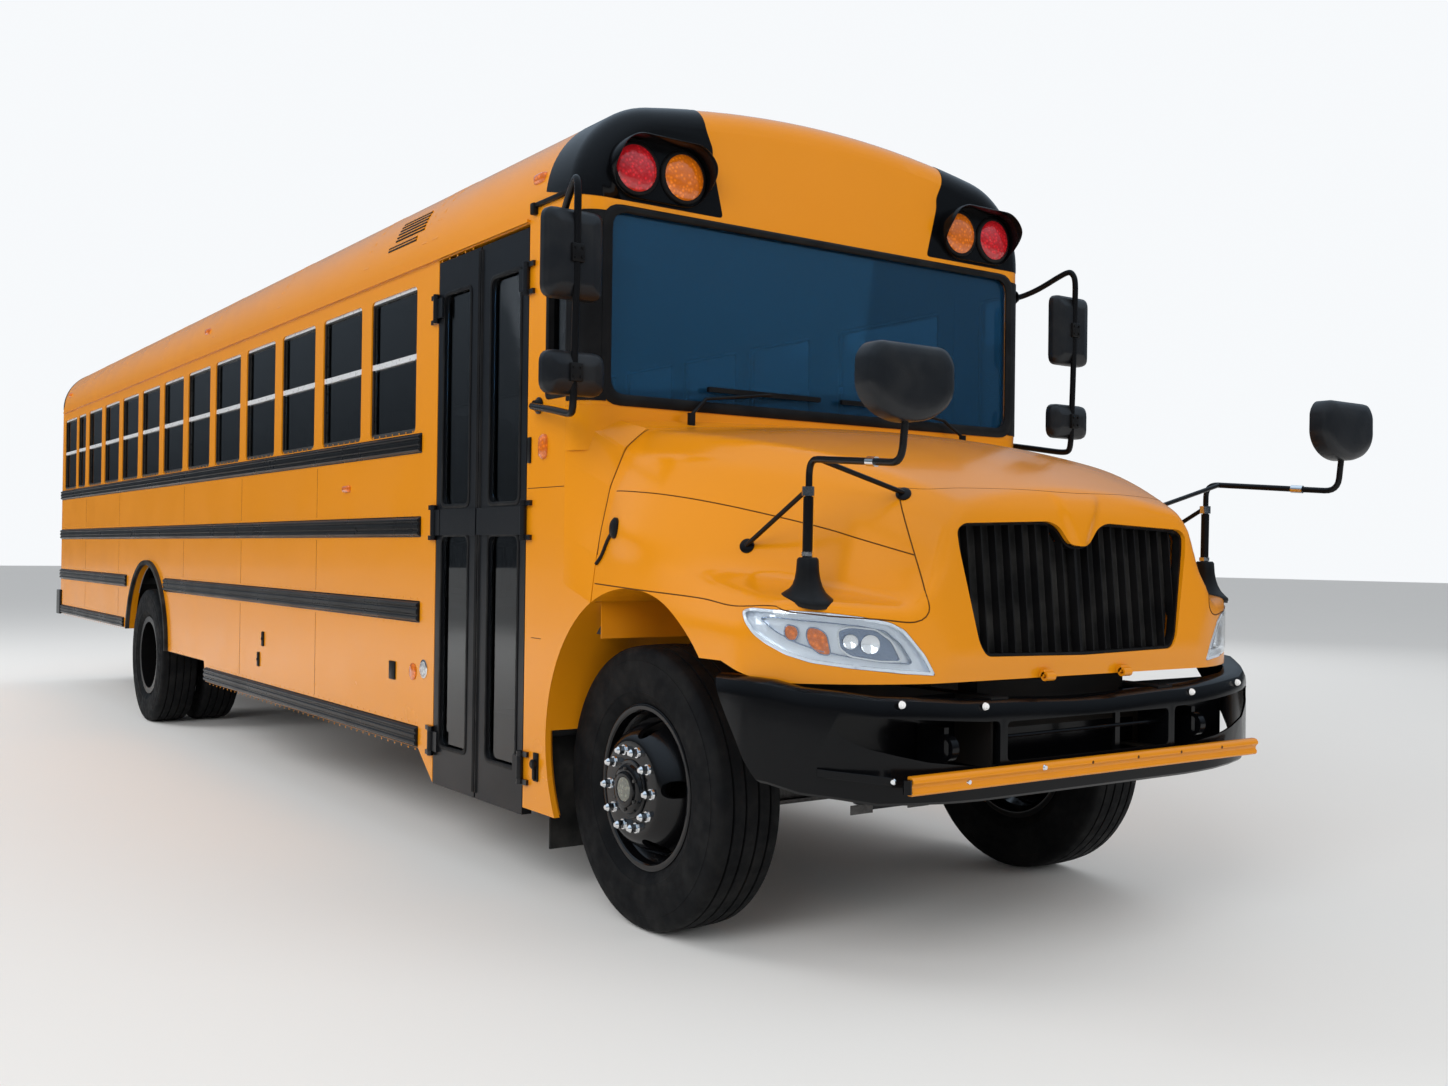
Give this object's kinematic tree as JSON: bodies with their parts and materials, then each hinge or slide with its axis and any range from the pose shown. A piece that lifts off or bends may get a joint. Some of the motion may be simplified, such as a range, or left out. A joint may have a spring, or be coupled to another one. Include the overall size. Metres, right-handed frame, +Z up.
{
  "type": "school bus",
  "caption": "Conventional yellow school bus with a tilting hood, double entrance doors, glazed side windows, benches inside and twin rear wheels.",
  "frame": {"origin": "on the ground at the middle of the bus's length and width", "axes": "+X forward, +Y to the bus's left, +Z up"},
  "size_m": [12.693, 2.95, 3.31],
  "materials": {
    "yellow_paint": "gloss",
    "black_paint": "satin",
    "chassis_paint": "satin",
    "cast_parts": "rough",
    "window_aluminium": "brushed",
    "black_aluminium": "satin",
    "clear_glass": "clear",
    "lamp_plastic": "gloss",
    "headlight_plastic": "gloss",
    "black_plastic": "matte",
    "floor_rubber": "matte",
    "flap_rubber": "matte",
    "tyre_rubber": "matte",
    "seat_cover": "satin",
    "exhaust_steel": "satin",
    "dash_plastic": "matte",
    "hatch_plastic": "satin",
    "stop_red": "gloss"
  },
  "bodies": {
    "bus_body": {"side_wall_right": "yellow_paint", "side_wall_left": "yellow_paint", "roof": "yellow_paint", "front_frame": "yellow_paint", "windshield_glass": "clear_glass", "cowl": "yellow_paint", "window_frames_right": "window_aluminium", "window_frames_left": "window_aluminium", "window_glass_right": "clear_glass", "window_glass_left": "clear_glass", "rear_shell": "yellow_paint", "rear_glass": "clear_glass", "floor": "floor_rubber", "stepwell": "floor_rubber", "seats_right": "seat_cover", "seats_left": "seat_cover", "dashboard": "dash_plastic", "chassis_rails": "chassis_paint", "cross_members": "chassis_paint", "engine_block": "cast_parts", "radiator": "window_aluminium", "driveshaft": "chassis_paint", "exhaust": "exhaust_steel", "fuel_tank": "chassis_paint", "front_axle": "cast_parts", "rear_axle": "cast_parts", "front_bumper": "black_paint", "rear_bumper": "black_paint", "mudflaps": "flap_rubber", "rear_fender_lips": "flap_rubber", "rub_rails": "black_paint", "side_mirrors": "black_paint", "wipers": "black_plastic", "lamp_housings": "black_paint", "lamp_lenses": "lamp_plastic"},
    "hood": {"hood": "yellow_paint", "grille": "black_plastic", "headlights": "headlight_plastic", "cross_view_mirrors": "black_paint"},
    "entrance_leaf_front": {"door_leaf_front": "black_aluminium", "door_glass_front": "clear_glass"},
    "entrance_leaf_rear": {"door_leaf_rear": "black_aluminium", "door_glass_rear": "clear_glass"},
    "rear_emergency_door": {"rear_door": "yellow_paint", "rear_door_glass": "clear_glass"},
    "roof_hatch": {"roof_hatch": "hatch_plastic"},
    "stop_arm": {"stop_arm": "stop_red"},
    "crossing_gate": {"crossing_gate": "yellow_paint"},
    "knuckle_left": {"knuckle_left": "cast_parts"},
    "front_wheel_left": {"front_wheel_left": "black_paint", "front_tyre_left": "tyre_rubber"},
    "rear_wheels_left": {"rear_wheels_left": "black_paint", "rear_tyres_left": "tyre_rubber"},
    "knuckle_right": {"knuckle_right": "cast_parts"},
    "front_wheel_right": {"front_wheel_right": "black_paint", "front_tyre_right": "tyre_rubber"},
    "rear_wheels_right": {"rear_wheels_right": "black_paint", "rear_tyres_right": "tyre_rubber"}
  },
  "joints": [
    {"name": "hood_tilt", "type": "hinge", "parent": "bus_body", "child": "hood", "pos_m": [6.034, 0, 0.99], "axis": [0, 1, 0], "range_deg": [0, 70]},
    {"name": "entrance_front", "type": "hinge", "parent": "bus_body", "child": "entrance_leaf_front", "pos_m": [4.1725, -1.233, 1.5], "axis": [0, 0, 1], "range_deg": [0, 90]},
    {"name": "entrance_rear", "type": "hinge", "parent": "bus_body", "child": "entrance_leaf_rear", "pos_m": [3.2725, -1.233, 1.5], "axis": [0, 0, -1], "range_deg": [0, 90]},
    {"name": "rear_door_swing", "type": "hinge", "parent": "bus_body", "child": "rear_emergency_door", "pos_m": [-6.24, -0.3965, 1.85], "axis": [0, 0, 1], "range_deg": [0, 110]},
    {"name": "roof_hatch_lift", "type": "hinge", "parent": "bus_body", "child": "roof_hatch", "pos_m": [-0.788, 0, 3.289], "axis": [0, -1, 0], "range_deg": [0, 80]},
    {"name": "stop_arm_swing", "type": "hinge", "parent": "bus_body", "child": "stop_arm", "pos_m": [3.034, 1.267, 1.7], "axis": [0, 0, -1], "range_deg": [0, 90]},
    {"name": "crossing_gate_swing", "type": "hinge", "parent": "bus_body", "child": "crossing_gate", "pos_m": [6.099, -0.9, 0.68], "axis": [0, 0, -1], "range_deg": [0, 90]},
    {"name": "steer_left", "type": "hinge", "parent": "bus_body", "child": "knuckle_left", "pos_m": [4.884, 0.88, 0.525], "axis": [0, 0, 1], "range_deg": [-40, 40]},
    {"name": "front_wheel_left_spin", "type": "hinge", "parent": "knuckle_left", "child": "front_wheel_left", "pos_m": [4.884, 0.97, 0.525], "axis": [0, 1, 0], "continuous": true},
    {"name": "rear_wheels_left_spin", "type": "hinge", "parent": "bus_body", "child": "rear_wheels_left", "pos_m": [-2.366, 0.921, 0.525], "axis": [0, 1, 0], "continuous": true},
    {"name": "steer_right", "type": "hinge", "parent": "bus_body", "child": "knuckle_right", "pos_m": [4.884, -0.88, 0.525], "axis": [0, 0, 1], "range_deg": [-40, 40]},
    {"name": "front_wheel_right_spin", "type": "hinge", "parent": "knuckle_right", "child": "front_wheel_right", "pos_m": [4.884, -0.97, 0.525], "axis": [0, 1, 0], "continuous": true},
    {"name": "rear_wheels_right_spin", "type": "hinge", "parent": "bus_body", "child": "rear_wheels_right", "pos_m": [-2.366, -0.921, 0.525], "axis": [0, 1, 0], "continuous": true}
  ],
  "couplings": [
    {"joint": "steer_right", "follows": "steer_left", "ratio": 1},
    {"joint": "entrance_rear", "follows": "entrance_front", "ratio": 1}
  ]
}
